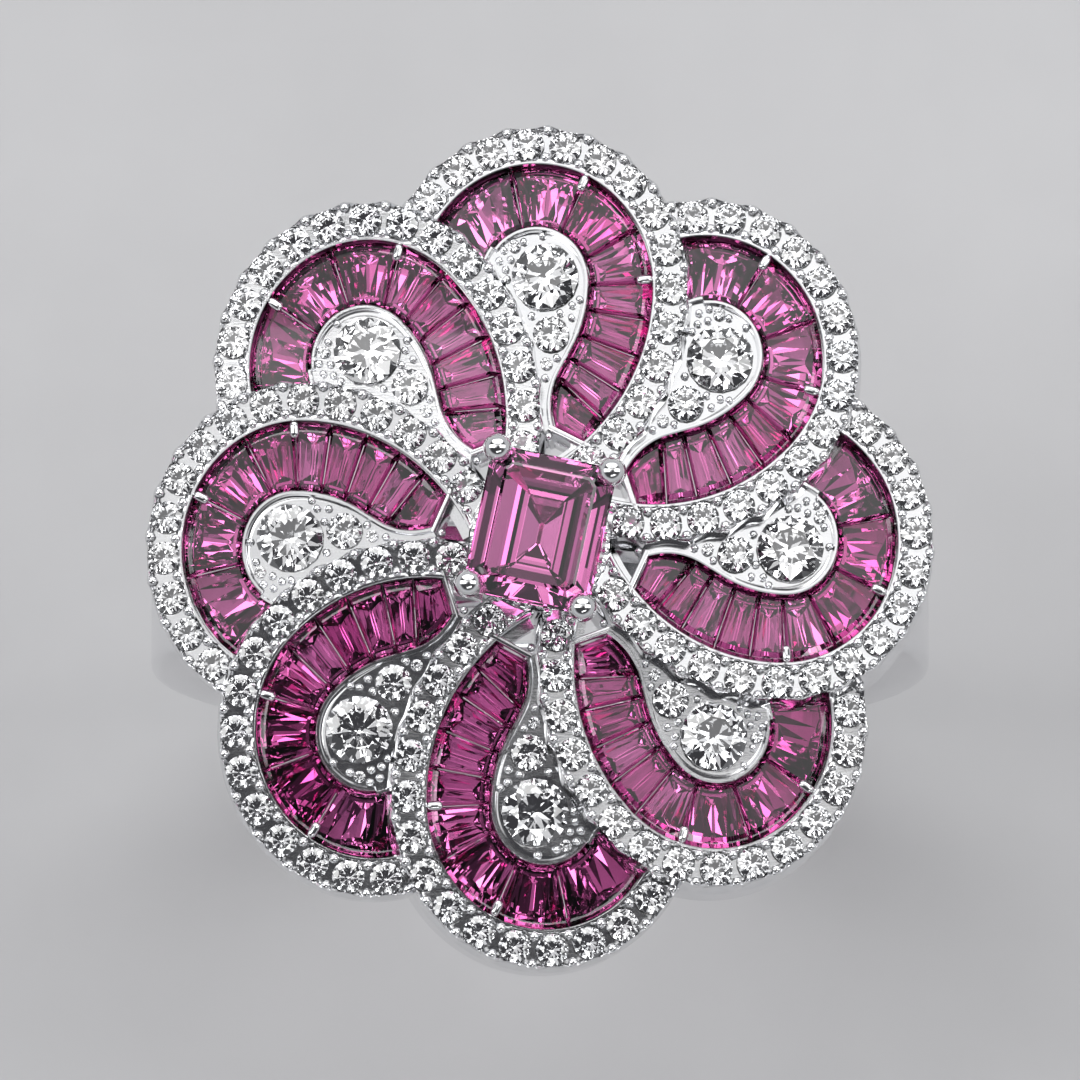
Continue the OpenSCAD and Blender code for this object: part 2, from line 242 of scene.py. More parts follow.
def turn(axis: int, degrees: float) -> np.ndarray:
    """Rotation matrix about X, Y or Z, given as 0, 1 or 2."""
    c, s = math.cos(math.radians(degrees)), math.sin(math.radians(degrees))
    i, j = (axis + 1) % 3, (axis + 2) % 3
    matrix = np.eye(3)
    matrix[i, i] = matrix[j, j] = c
    matrix[i, j], matrix[j, i] = -s, s
    return matrix


def petal_turn(k: int) -> np.ndarray:
    """Rotation from petal k's axes to the ring's."""
    return turn(2, -STEP * k) @ turn(0, -PLAN.droop) @ turn(1, -PLAN.tilt)


def to_ring(k: int, points: np.ndarray) -> np.ndarray:
    """Moves points from petal k's axes, already on the oval head, to the ring's axes."""
    return points @ petal_turn(k).T + [0.0, 0.0, HEAD_Z]


def lifted(xy: np.ndarray, z: np.ndarray) -> np.ndarray:
    """Plan points with their heights."""
    return np.concatenate([xy, z[..., None]], axis=-1)


def round_angles(count: int) -> np.ndarray:
    """Even angles round a circle, in radians."""
    return np.linspace(0, 2 * math.pi, count, endpoint=False)


def unit(vector: np.ndarray) -> np.ndarray:
    """The vector at length 1."""
    return vector / np.linalg.norm(vector)


def arc(centre: np.ndarray, radius: float, start: float, end: float, count: int) -> np.ndarray:
    """Points along an arc.

    Args:
        centre: Plan centre.
        radius: Radius.
        start: First angle in degrees.
        end: Last angle in degrees.
        count: Number of points.

    Returns:
        An array of shape (count, 2).
    """
    a = np.radians(np.linspace(start, end, count))
    return np.asarray(centre) + radius * np.stack([np.cos(a), np.sin(a)], axis=-1)


def run_of(line: np.ndarray) -> np.ndarray:
    """Length of a polyline up to each of its points."""
    steps = np.linalg.norm(np.diff(line, axis=0), axis=1)
    return np.concatenate([[0.0], np.cumsum(steps)])


def along(line: np.ndarray, shares: np.ndarray) -> np.ndarray:
    """Points at given shares of a polyline's length.

    Args:
        line: Array of shape (n, 2).
        shares: Values from 0 to 1.

    Returns:
        An array of shape (len(shares), 2).
    """
    run = run_of(line)
    return np.stack([np.interp(shares, run / run[-1], line[:, i]) for i in (0, 1)], axis=-1)


class RimPath:
    """Middle line of a petal's diamond rim, from the next petal's rim to the basket."""

    def __init__(self) -> None:
        """Works out where the first and last diamonds fit, and their even spacing."""
        self.lobe = np.array(PLAN.lobe)
        self.mid_r = PLAN.lobe_r + PLAN.rim_w / 2
        self.sweep_r = PLAN.sweep_r + PLAN.rim_w / 2
        beside = turned(self.lobe, STEP)
        gap = float(np.linalg.norm(self.lobe - beside))
        clear = PLAN.lobe_r + PLAN.rim_w + STONES.rim_d / 2 + STONES.rim_air
        facing = math.degrees(math.atan2(*(self.lobe - beside)[::-1]))
        cosine = (clear**2 - gap**2 - self.mid_r**2) / (2 * gap * self.mid_r)
        self.start = facing + math.degrees(math.acos(cosine))
        self.lobe_len = self.mid_r * math.radians(self.start)
        last, end = (math.radians(PLAN.sweep_angle + v) for v in (STONES.rim_last, PLAN.rim_run_on))
        self.stones_len = self.lobe_len + self.sweep_r * last
        self.end = self.lobe_len + self.sweep_r * end
        self.count = int(self.stones_len / STONES.rim_pitch) + 1
        self.step = self.stones_len / (self.count - 1)
        self.stones = self.points(np.arange(self.count) * self.step, 0.0)

    def points(self, s: np.ndarray, outward: np.ndarray | float) -> np.ndarray:
        """Plan points beside the middle line.

        Args:
            s: Lengths along the middle line.
            outward: Distances from it, positive away from the channel.

        Returns:
            An array with a last axis of x and y.
        """
        s, outward = np.broadcast_arrays(np.asarray(s, float), np.asarray(outward, float))
        on_lobe = s < self.lobe_len
        angle = np.where(
            on_lobe,
            math.radians(self.start) - s / self.mid_r,
            -(s - self.lobe_len) / self.sweep_r,
        )
        radius = np.where(on_lobe, self.mid_r, self.sweep_r) + outward
        sweep = PLAN.sweep_c
        x = np.where(on_lobe, self.lobe[0], sweep[0]) + radius * np.cos(angle)
        y = np.where(on_lobe, self.lobe[1], sweep[1]) + radius * np.sin(angle)
        return np.stack([x, y], axis=-1)


class Channel:
    """The channel's two edges, and the joints between its tapered stones."""

    BEYOND = 0.5
    SHORT = 0.6

    def __init__(self, inset: float) -> None:
        """Draws both edges as fine polylines, moved into the channel.

        Args:
            inset: Distance of the lines inside the channel's true edges.
        """
        turn_back = 180 - PLAN.waist_angle
        end_cut = math.degrees(inset / PLAN.sweep_r)
        tail_end = turn_back + PLAN.tail_angle - math.degrees(inset / PLAN.tail_r)
        self.outer = np.vstack([
            arc(PLAN.lobe, PLAN.lobe_r - inset, PLAN.lobe_from, 0, 120),
            arc(PLAN.sweep_c, PLAN.sweep_r - inset, 0, -PLAN.sweep_angle + end_cut, 70)[1:],
        ])
        self.inner = np.vstack([
            arc(PLAN.eye, PLAN.eye_r + inset, PLAN.eye_from, 0, 120),
            arc(PLAN.waist_c, PLAN.waist_r + inset, 0, -PLAN.waist_angle, 40)[1:],
            arc(PLAN.tail_c, PLAN.tail_r - inset, turn_back, tail_end, 40),
        ])
        self.lobe_len = PLAN.lobe_r * math.radians(PLAN.lobe_from)
        self.length = self.lobe_len + PLAN.sweep_r * math.radians(PLAN.sweep_angle)
        self.hidden = PLAN.lobe_r * math.radians(PLAN.hidden_angle)

    def edge(self, s: float, inward: float) -> np.ndarray:
        """A point at a length along the true outer edge, moved towards the arc's centre."""
        on_lobe = s < self.lobe_len
        centre = np.array(PLAN.lobe) if on_lobe else PLAN.sweep_c
        radius = PLAN.lobe_r if on_lobe else PLAN.sweep_r
        start = math.radians(PLAN.lobe_from)
        angle = start - s / radius if on_lobe else -(s - self.lobe_len) / radius
        return centre + (radius - inward) * np.array([math.cos(angle), math.sin(angle)])

    def joint(self, i: int) -> float:
        """Length along the outer edge of the joint before stone i."""
        if i == 0:
            return 0.0
        shares = STONES.shares
        return self.hidden + (self.length - self.hidden) * sum(shares[:i]) / sum(shares)

    @staticmethod
    def crossing(line: np.ndarray, start: np.ndarray, end: np.ndarray) -> float:
        """Share of a polyline's length at which a straight line crosses it.

        Args:
            line: The polyline.
            start: One point of the straight line.
            end: Another.

        Returns:
            A value from 0 to 1, that of the crossing nearest the start.
        """
        direction = end - start
        normal = np.array([-direction[1], direction[0]])
        side = (line - start) @ normal
        flips = np.nonzero(np.sign(side[:-1]) != np.sign(side[1:]))[0]
        reach = (line[flips] - start) @ direction
        flips, reach = flips[reach > -TINY], reach[reach > -TINY]
        best = flips[np.argmin(reach)] if len(flips) else len(line) - 2
        t = np.clip(side[best] / (side[best] - side[best + 1] + TINY), 0, 1)
        run = run_of(line)
        return float((run[best] * (1 - t) + run[best + 1] * t) / run[-1])

    @staticmethod
    def leaves(line: np.ndarray, centre: np.ndarray, radius: float) -> float:
        """Share of a polyline's length at which it first leaves a circle."""
        run = run_of(line)
        return float(run[np.argmax(np.linalg.norm(line - centre, axis=1) > radius)] / run[-1])

    def stone(self, i: int, count: int) -> tuple[np.ndarray, np.ndarray]:
        """The two long edges of stone i.

        Args:
            i: Number of the stone, from the petal's tip inward.
            count: Points on each edge.

        Returns:
            The outer and the inner edge, each of shape (count, 2) and from the tip inward.
        """
        beside = turned(np.array(PLAN.lobe), STEP)
        clear = PLAN.lobe_r + PLAN.rim_w - STONES.tuck
        edges = (self.outer, self.inner)
        ends = []
        for j, kerf in ((i, STONES.kerf), (i + 1, -STONES.kerf)):
            if j == 0:
                ends.append([self.leaves(edge, beside, clear) for edge in edges])
            elif j == len(STONES.shares):
                ends.append([1.0, 1.0])
            else:
                s = self.joint(j) + kerf / 2
                far, near = self.edge(s, -self.BEYOND), self.edge(s, PLAN.lobe_r - self.SHORT)
                ends.append([self.crossing(edge, far, near) for edge in edges])
        first, last = ends
        outer, inner = (
            along(edge, np.linspace(a, b, count)) for edge, a, b in zip(edges, first, last))
        return outer, inner


def cover_line(count: int) -> np.ndarray:
    """Middle line of the next petal's rim where it covers this petal's eye, as count points."""
    return turned(arc(PLAN.sweep_c, RIM.sweep_r, 0.0, -PLAN.cover_angle, count), STEP)


RIM = RimPath()
EDGE = Channel(0.0)
SEATED = Channel(STONES.gap)


# --- mesh making

Shape = tuple[np.ndarray, list[np.ndarray]]


def grid_faces(rows: int, columns: int, closed: bool) -> np.ndarray:
    """Four-sided faces of a grid of points.

    Args:
        rows: Number of rows of points.
        columns: Number of points in a row.
        closed: Whether each row is a closed loop.

    Returns:
        An array of shape (faces, 4) of point numbers.
    """
    r = np.arange(rows - 1)[:, None]
    c = np.arange(columns if closed else columns - 1)[None, :]
    d = (c + 1) % columns
    low, high = r * columns, (r + 1) * columns
    return np.stack([low + c, low + d, high + d, high + c], axis=-1).reshape(-1, 4)


def volume(points: np.ndarray, faces: list[np.ndarray]) -> float:
    """Signed volume that a closed set of faces encloses."""
    total = 0.0
    for block in faces:
        a = points[block[:, 0]]
        for j in range(1, block.shape[1] - 1):
            b, c = points[block[:, j]], points[block[:, j + 1]]
            total += float(np.einsum("ij,ij->i", a, np.cross(b, c)).sum())
    return total / 6


@dataclass
class MeshBuilder:
    """Collects closed shapes in millimetres and makes one Blender mesh of them."""

    points: list[np.ndarray] = field(default_factory=list)
    faces: list[np.ndarray] = field(default_factory=list)
    tints: list[np.ndarray] = field(default_factory=list)
    shade_levels: list[np.ndarray] = field(default_factory=list)
    count: int = 0

    def add(self, points: np.ndarray, faces: list[np.ndarray], tint: float = 0.5,
            zone: np.ndarray | None = None) -> None:
        """Adds one closed shape, with its faces turned outward.

        Args:
            points: Array of shape (n, 3).
            faces: Blocks of faces, each of shape (m, corners).
            tint: A value from 0 to 1 that the material may read.
            zone: One value a point from 0 at the shape's rim to 1 in its open middle; the stone
                material paints shade by it, darkest at 0.
        """
        points = np.asarray(points, float).reshape(-1, 3)
        inside_out = volume(points - points.mean(axis=0), faces) < 0
        for block in faces:
            block = np.asarray(block)
            self.faces.append((block[:, ::-1] if inside_out else block) + self.count)
        self.points.append(points)
        self.tints.append(np.full(len(points), tint))
        self.shade_levels.append(np.ones(len(points)) if zone is None else np.asarray(zone, float).ravel())
        self.count += len(points)

    def add_loops(self, loops: np.ndarray, tint: float = 0.5, ring: bool = False,
                  zone: np.ndarray | None = None) -> None:
        """Adds a body swept through closed loops of points, with flat ends.

        Args:
            loops: Array of shape (loops, points, 3).
            tint: A value from 0 to 1 that the material may read.
            ring: Whether the last loop joins the first, so that there are no ends.
            zone: One value a point from 0 at the shape's rim to 1 in its open middle; the stone
                material paints shade by it, darkest at 0.
        """
        rows, columns = loops.shape[:2]
        if ring:
            loops = np.concatenate([loops, loops[:1]])
            quads = grid_faces(rows + 1, columns, True) % (rows * columns)
            self.add(loops[:-1], [quads], tint, zone)
            return
        first = np.arange(columns)[None, ::-1]
        last = (np.arange(columns) + (rows - 1) * columns)[None, :]
        self.add(loops, [grid_faces(rows, columns, True), first, last], tint, zone)

    def make(self, name: str, sharp: float | None) -> bpy.types.Object:
        """Makes the Blender object.

        Args:
            name: The object's name.
            sharp: Angle in degrees over which an edge stays sharp, or None for flat facets.

        Returns:
            The new object, in metres, at the origin.
        """
        mesh = bpy.data.meshes.new(name)
        points = np.concatenate(self.points) * MM
        corners = np.concatenate([block.ravel() for block in self.faces])
        totals = np.concatenate([np.full(len(block), block.shape[1]) for block in self.faces])
        starts = np.concatenate([[0], np.cumsum(totals)[:-1]])
        mesh.vertices.add(len(points))
        mesh.vertices.foreach_set("co", points.ravel())
        mesh.loops.add(len(corners))
        mesh.loops.foreach_set("vertex_index", corners.astype(np.int32))
        mesh.polygons.add(len(totals))
        mesh.polygons.foreach_set("loop_start", starts.astype(np.int32))
        mesh.polygons.foreach_set("loop_total", totals.astype(np.int32))
        mesh.polygons.foreach_set("use_smooth", np.full(len(totals), sharp is not None))
        mesh.update(calc_edges=True)
        # The zone values go into the 'zone' attribute, which the stone material reads to paint
        # shade at each stone's rim.
        for label, values in (("tint", self.tints), ("zone", self.shade_levels)):
            layer = mesh.attributes.new(label, "FLOAT", "POINT")
            layer.data.foreach_set("value", np.concatenate(values).astype(np.float32))
        mesh.validate()
        if sharp is not None:
            mesh.set_sharp_from_angle(angle=math.radians(sharp))
        thing = bpy.data.objects.new(name, mesh)
        bpy.context.scene.collection.objects.link(thing)
        return thing


@dataclass
class Piece:
    """A finished piece: its shapes, its name, its CAD node, its slot and its sharp edges."""

    name: str
    node: str
    slot: Slot
    sharp: float | None
    mesh: MeshBuilder

    def settle(self, materials: dict[Slot, bpy.types.Material]) -> None:
        """Makes the piece and ties it to the ring's body, its slot and its CAD node."""
        thing = self.mesh.make(self.name, self.sharp)
        thing.data.materials.append(materials[self.slot])
        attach(thing, BODY)
        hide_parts(self.node)
        log.info("%s: %d faces, stands for %s", self.name, len(thing.data.polygons), self.node)


def lathe(profile: np.ndarray, sides: int) -> np.ndarray:
    """Loops of points for a body turned about Z.

    Args:
        profile: Array of shape (n, 2) of radius and height, from one end to the other.
        sides: Points in each loop.

    Returns:
        An array of shape (n, sides, 3).
    """
    a = round_angles(sides)
    radius, height = profile[:, :1], profile[:, 1:]
    return np.stack([radius * np.cos(a), radius * np.sin(a), height + 0 * a], axis=-1)


def rounded_section(width: float, height: float, radius: float, steps: int = 5) -> np.ndarray:
    """Closed outline of a rectangle with round corners, centred on the origin."""
    x, y = width / 2 - radius, height / 2 - radius
    corners = [((x, y), 0), ((-x, y), 90), ((-x, -y), 180), ((x, -y), 270)]
    return np.vstack([arc(np.array(c), radius, a, a + 90, steps) for c, a in corners])


def smooth_step(value: np.ndarray, low: float, high: float) -> np.ndarray:
    """0 below low, 1 above high and a smooth rise between them."""
    t = np.clip((value - low) / (high - low), 0.0, 1.0)
    return t * t * (3 - 2 * t)


# --- cut stones

def round_brilliant(diameter: float, spin: float) -> Shape:
    """A round brilliant with table, star, kite, girdle and pavilion facets.

    Rings of points stand at fixed shares of the diameter. The star points and the lower girdle
    points lie in the planes of the kites beside them, so that every kite is flat.

    Args:
        diameter: Girdle diameter.
        spin: Turn about the stone's axis, in degrees.

    Returns:
        The shape, with the centre of its girdle on the origin.
    """
    steps, sides = np.arange(8), np.arange(16)
    main, all_round = steps * FACET_STEP, sides * FACET_STEP / 2
    half = main + FACET_STEP / 2
    cosine = math.cos(math.radians(FACET_STEP / 2))
    crown_slope = (CUT.crown - CUT.half_girdle) / (CUT.girdle_r - CUT.table_r)
    star_z = CUT.crown - (CUT.star_r * cosine - CUT.table_r) * crown_slope
    deep_slope = (CUT.pavilion - CUT.half_girdle) / CUT.girdle_r
    deep_z = CUT.deep_r * cosine * deep_slope - CUT.pavilion

    def ring(angles: np.ndarray, radius: float, z: float) -> np.ndarray:
        a = np.radians(angles + spin)
        return np.stack([radius * np.cos(a), radius * np.sin(a), np.full(len(a), z)], axis=-1)

    points = np.vstack([
        ring(main, CUT.table_r, CUT.crown),
        ring(half, CUT.star_r, star_z),
        ring(all_round, CUT.girdle_r, CUT.half_girdle),
        ring(all_round, CUT.girdle_r, -CUT.half_girdle),
        ring(half, CUT.deep_r, deep_z),
        [[0.0, 0.0, -CUT.pavilion]],
    ]) * diameter
    table, star, upper, lower, deep, culet = 0, 8, 16, 32, 48, 56
    nxt, prev = (steps + 1) % 8, (steps - 1) % 8
    on, off, after = upper + 2 * steps, upper + 2 * steps + 1, upper + 2 * nxt
    triangles = np.vstack([
        np.stack([table + steps, star + steps, table + nxt], axis=-1),
        np.stack([star + steps, on, off], axis=-1),
        np.stack([star + steps, off, after], axis=-1),
        np.stack([deep + steps, off + 16, on + 16], axis=-1),
        np.stack([deep + steps, after + 16, off + 16], axis=-1),
    ])
    beside = (sides + 1) % 16
    quads = np.vstack([
        np.stack([table + steps, star + prev, on, star + steps], axis=-1),
        np.stack([upper + sides, lower + sides, lower + beside, upper + beside], axis=-1),
        np.stack([on + 16, deep + prev, np.full(8, culet), deep + steps], axis=-1),
    ])
    return points, [(table + steps)[None, :], triangles, quads]


def metal_bead(radius: float, height: float, foot: float = 0.12) -> Shape:
    """A small domed bead: three rings of a half ellipsoid with a tip and a sunken foot."""
    rise = np.radians([0.0, 34.0, 64.0])
    profile = np.stack([radius * np.cos(rise), height * np.sin(rise)], axis=-1)
    rings = lathe(np.vstack([[[radius, -foot]], profile]), 8)
    points = np.vstack([rings.reshape(-1, 3), [[0.0, 0.0, height]]])
    last = 24 + np.arange(8)
    tip = np.stack([last, np.roll(last, -1), np.full(8, 32)], axis=-1)
    return points, [grid_faces(4, 8, True), np.arange(8)[None, ::-1], tip]


# --- one petal

@dataclass
class Petal:
    """One petal of the head: its casting and the stones set in it."""

    number: int
    lip: float = 0.06
    soft_edge: float = 0.03
    rim_drop: float = 0.13
    rim_lead: float = 0.9
    field_drop: float = 0.16
    scallop: float = 0.1
    seat_gap: float = 0.03
    seat_step: float = 0.03
    seat_slope: float = 0.95
    bead_r: float = 0.135
    bead_rise: float = 0.1
    bead_z: float = -0.02
    grain_r: float = 0.11
    grain_gap: float = 0.235
    grain_z: float = -0.1
    grain_tries: int = 2600
    # Painted shade of a tapered stone's rings, from table to keel: 0 paints the girdle in the dark
    # rim colour, 1 keeps the body colour.
    ring_shade_levels: tuple[float, ...] = (1.0, 0.45, 0.0, 0.0, 0.45, 0.8, 1.0)
    bar_len: float = 0.42
    bar_half_w: float = 0.125
    bar_half_h: float = 0.11
    bar_z: float = -0.06

    @property
    def k(self) -> int:
        """Steps clockwise from the first petal."""
        return self.number - 1

    def node(self, part: str) -> str:
        """Name of one of this petal's CAD nodes or pieces."""
        return f"petal_{self.number}_{part}"

    def place(self, points: np.ndarray) -> np.ndarray:
        """Moves points of the petal's round plan into the ring's axes."""
        return to_ring(self.k, on_head(self.k, points))

    def stand(self, mesh: MeshBuilder, shape: Shape, spot: tuple[float, float, float],
              tint: float = 0.5) -> None:
        """Adds a small shape, made round the origin, that stands square on the petal."""
        points, faces = shape
        centre = self.place(np.array([spot]))[0]
        mesh.add(points @ petal_turn(self.k).T + centre, faces, tint)

    def seats(self, xy: np.ndarray, centres: np.ndarray, radii: np.ndarray | float) -> np.ndarray:
        """Depth of the conical seats at plan points.

        A seat's depth grows with the distance left to its rim, so it is a cone.

        Args:
            xy: Array of shape (..., 2).
            centres: Array of shape (n, 2).
            radii: Array of n radii, or one for all.

        Returns:
            An array of depths, 0 outside every seat.
        """
        away = np.linalg.norm(xy[..., None, :] - centres, axis=-1)
        left = np.clip(radii + self.seat_gap - away, 0.0, None)
        return (left * self.seat_slope + np.where(left > 0, self.seat_step, 0.0)).max(axis=-1)

    def rim_body(self) -> np.ndarray:
        """Loops of the rim: a cross-section carried along the rim's middle line.

        The section runs up the outer wall, which is cut back in a U beside each diamond, across
        the seats, over the bright inner lip, down the channel's wall and round the ledge.

        Returns:
            An array of shape (loops, points, 3) in the petal's plan axes.
        """
        half = PLAN.rim_w / 2
        s = np.linspace(-self.rim_lead, RIM.end, 330)
        wave = np.cos(2 * math.pi * s / RIM.step) * 0.5 + 0.5
        beside = (s > -0.5 * RIM.step) & (s < RIM.stones_len + 0.5 * RIM.step)
        cut = self.scallop * np.where(beside, wave**0.7, 0.0)
        wall_z = np.array([-PLAN.height, -1.0, -0.68, -0.6, -0.5, -0.3, -0.12, -0.05])
        wall_o = half - cut[:, None] * np.array([0.0, 0.0, 0.0, 0.45, 0.85, 1.0, 1.0, 1.0])
        across = np.linspace(0.0, 1.0, 17)
        top_from = (half - self.soft_edge - cut)[:, None]
        top_to = -half + self.lip + self.soft_edge
        top_o = top_from * (1 - across) + top_to * across
        dip = smooth_step(np.minimum(across, 1 - across), 0.02, 0.14)
        top_z = np.zeros_like(top_o) - self.rim_drop * dip
        inner_o = -half + np.array([self.lip, 0.02, 0.0, 0.0, -PLAN.ledge_w, -PLAN.ledge_w])
        inner_z = np.array([0.0, 0.0, -0.02, PLAN.ledge_z, PLAN.ledge_z, -PLAN.height])
        rows = (len(s), 1)
        o = np.hstack([wall_o, top_o, np.tile(inner_o, rows)])
        z = np.hstack([np.tile(wall_z, rows), top_z, np.tile(inner_z, rows)])
        xy = RIM.points(s[:, None], o)
        depth = self.seats(xy, RIM.stones, STONES.rim_d / 2)
        top = slice(wall_o.shape[1], wall_o.shape[1] + top_o.shape[1])
        z[:, top] = np.minimum(z[:, top], -depth[:, top])
        return lifted(xy, z)

    def eye_body(self) -> np.ndarray:
        """Loops of the eye plate: cross-sections ruled from the channel to the next petal's rim.

        Each section starts on the channel's inner edge and ends on the middle line of the next
        petal's rim, where that rim hides it. The wall beside the channel stands a little proud.

        Returns:
            An array of shape (loops, points, 3) in the petal's plan axes.
        """
        count = 210
        edge = along(EDGE.inner, np.linspace(0, 1, count))
        far = cover_line(count)
        step = np.gradient(edge, axis=0)
        normal = np.stack([step[:, 1], -step[:, 0]], axis=-1)
        normal /= np.linalg.norm(normal, axis=1)[:, None]
        normal *= np.sign(((far - edge) * normal).sum(axis=1))[:, None]
        wall = (
            (-PLAN.ledge_w, -PLAN.height), (-PLAN.ledge_w, PLAN.ledge_z), (0.0, PLAN.ledge_z),
            (0.0, -0.03), (0.025, 0.0), (0.08, 0.0), (0.11, -self.field_drop - 0.02),
        )
        lines = [edge + normal * width for width, _ in wall]
        levels = [z for _, z in wall]
        field_from = lines[-1]
        shares = np.linspace(0.0, 1.0, 34)[1:]
        lines += [field_from * (1 - t) + far * t for t in shares] + [far]
        levels += [-self.field_drop] * len(shares) + [-PLAN.height]
        xy = np.stack(lines, axis=1)
        z = np.tile(np.array(levels), (count, 1))
        spots = np.array(STONES.eye_stones)
        depth = self.seats(xy, spots[:, :2], spots[:, 2] / 2)
        plate = slice(len(wall), -1)
        z[:, plate] = np.minimum(z[:, plate], -depth[:, plate])
        return lifted(xy, z)

    def end_wall(self) -> np.ndarray:
        """Loops of the thin wall that closes the channel's inner end.

        Returns:
            An array of shape (2, points, 3) in the petal's plan axes.
        """
        ends = np.array([EDGE.inner[-1], EDGE.outer[-1]])
        direction = unit(ends[1] - ends[0])
        outward = np.array([direction[1], -direction[0]])
        ends = ends + np.array([[-0.1], [0.2]]) * direction + outward * (0.01 + PLAN.wall / 2)
        section = rounded_section(PLAN.wall, PLAN.height, 0.03, 4)
        xy = ends[:, None, :] + section[None, :, :1] * outward
        z = np.tile(section[:, 1] - PLAN.height / 2, (2, 1))
        return lifted(xy, z)

    def bead_spots(self) -> np.ndarray:
        """Plan places of the beads that hold the rim diamonds, in pairs between them."""
        side = PLAN.rim_w / 2 - self.bead_r
        pairs = RIM.count + 1
        s = np.repeat((np.arange(pairs) - 0.5) * RIM.step, 2)
        return RIM.points(s, np.tile([-side + self.lip * 0.6, side], pairs))

    def grain_spots(self) -> np.ndarray:
        """Plan places of the fine grain beads that fill the eye plate between its diamonds.

        Candidates are spread over the plate and kept one by one where they clear the wall, the
        next petal's rim, the diamonds and each other.

        Returns:
            An array of shape (n, 2).
        """
        rng = np.random.default_rng(7)
        lines = 400
        start = along(Channel(-0.2).inner, np.linspace(0.0, 1.0, lines))
        pick = rng.integers(0, lines, self.grain_tries)
        t = rng.uniform(0, 1, self.grain_tries)[:, None]
        spots = start[pick] * (1 - t) + cover_line(lines)[pick] * t
        next_rim = turned(np.vstack([
            arc(PLAN.lobe, RIM.mid_r, 90.0, 0.0, 120),
            arc(PLAN.sweep_c, RIM.sweep_r, 0.0, -60.0, 120),
        ]), STEP)
        away = np.linalg.norm(spots[:, None] - next_rim, axis=-1).min(axis=1)
        edge = np.linalg.norm(spots[:, None] - EDGE.inner[::3], axis=-1).min(axis=1)
        stones = np.array(STONES.eye_stones)
        reach = np.linalg.norm(spots[:, None] - stones[:, :2], axis=-1) - stones[:, 2] / 2
        spots = spots[(away > PLAN.rim_w / 2 + 0.08) & (edge > 0.17) & (reach.min(axis=1) > 0.09)]
        kept: list[np.ndarray] = []
        for spot in spots:
            if not kept or np.linalg.norm(np.array(kept) - spot, axis=1).min() > self.grain_gap:
                kept.append(spot)
        return np.array(kept)

    def casting(self) -> MeshBuilder:
        """The petal's metal: rim, channel walls, eye plate and beads."""
        mesh = MeshBuilder()
        for body in (self.rim_body(), self.eye_body(), self.end_wall()):
            mesh.add_loops(self.place(body))
        beads = (self.bead_spots(), self.bead_r, self.bead_z)
        grains = (self.grain_spots(), self.grain_r, self.grain_z)
        for spots, radius, z in (beads, grains):
            for x, y in spots:
                self.stand(mesh, metal_bead(radius, self.bead_rise), (x, y, z))
        return mesh

    def tapered_stone(self, i: int) -> np.ndarray:
        """Rings of one tapered stone, from its table down to its keel.

        The stone's outline is ruled from its outer edge to its inner edge, so a place on it is a
        share across and a share along. Each ring is the outline drawn in by its own shares.

        Args:
            i: Number of the stone from the petal's tip inward.

        Returns:
            An array of shape (rings, points, 3) in the petal's plan axes.
        """
        count = 5
        outer, inner = SEATED.stone(i, count)
        length = float(np.linalg.norm(outer.mean(axis=0) - inner.mean(axis=0)))
        width = float(np.linalg.norm(outer[0] - outer[-1]))
        crown = STONES.table_z
        steps = (
            (0.24 / length, 0.13 / length, 0.085 / width, crown),
            (0.1 / length, 0.05 / length, 0.035 / width, crown - 0.08),
            (0.0, 0.0, 0.0, crown - 0.22),
            (0.0, 0.0, 0.0, crown - 0.27),
            (0.1, 0.08, 0.14, crown - 0.5),
            (0.2, 0.16, 0.31, crown - 0.75),
            (0.3, 0.26, 0.47, crown - 0.98),
        )
        grid = np.linspace(0, 1, count)
        rings = []
        for far, near, side, z in steps:
            shares = grid * (1 - 2 * side) + side
            o, n = (
                np.stack([np.interp(shares, grid, line[:, j]) for j in (0, 1)], axis=-1)
                for line in (outer, inner))
            ring = np.vstack([o + (n - o) * far, (n + (o - n) * near)[::-1]])
            rings.append(np.hstack([ring, np.full((len(ring), 1), z)]))
        return np.array(rings)

    def pink_row(self) -> MeshBuilder:
        """The row of tapered pink stones in the channel, with painted shade darkening each stone
        towards its girdle.
        """
        mesh = MeshBuilder()
        tone = np.random.default_rng(40 + self.number).uniform(0.0, 1.0, len(STONES.shares))
        for i, own in enumerate(tone):
            rings = self.tapered_stone(i)
            zone = np.tile(np.array(self.ring_shade_levels)[:, None], (1, rings.shape[1]))
            mesh.add_loops(self.place(rings), float(own), zone=zone)
        return mesh

    def bars(self) -> MeshBuilder:
        """The bar prongs that reach over the stones' joints.

        A bar is a long dome: each loop is an arch whose width and height shrink towards both
        ends as the square root of one minus the fourth power of the place along it.
        """
        mesh = MeshBuilder()
        t = np.linspace(-0.97, 0.97, 11)
        swell = np.sqrt(1 - t**4)[:, None]
        a = round_angles(12)[None, :]
        z = self.bar_z + self.bar_half_h * swell * np.sin(a)
        wide = self.bar_half_w * swell * np.cos(a)
        for joint in (2, 4) if self.k % 2 == 0 else (1, 3):
            s = EDGE.joint(joint)
            root, tip = on_head(self.k, np.array([EDGE.edge(s, 0.0), EDGE.edge(s, self.bar_len)]))
            direction = unit(tip - root)
            across = np.array([direction[1], -direction[0]])
            middle = (root + tip) / 2 + t[:, None] * (tip - root) / 2
            xy = middle[:, None, :] + wide[..., None] * across
            mesh.add_loops(to_ring(self.k, lifted(xy, z)))
        return mesh

    def brilliants(self, spots: list[tuple[float, float, float]]) -> MeshBuilder:
        """Round brilliants level with the petal's metal, by plan place and diameter."""
        mesh = MeshBuilder()
        spin = np.random.default_rng(90 + self.number).uniform(0, FACET_STEP, len(spots))
        for (x, y, diameter), angle in zip(spots, spin):
            shape = round_brilliant(diameter, float(angle))
            self.stand(mesh, shape, (x, y, -STONES.girdle_drop), angle / FACET_STEP)
        return mesh

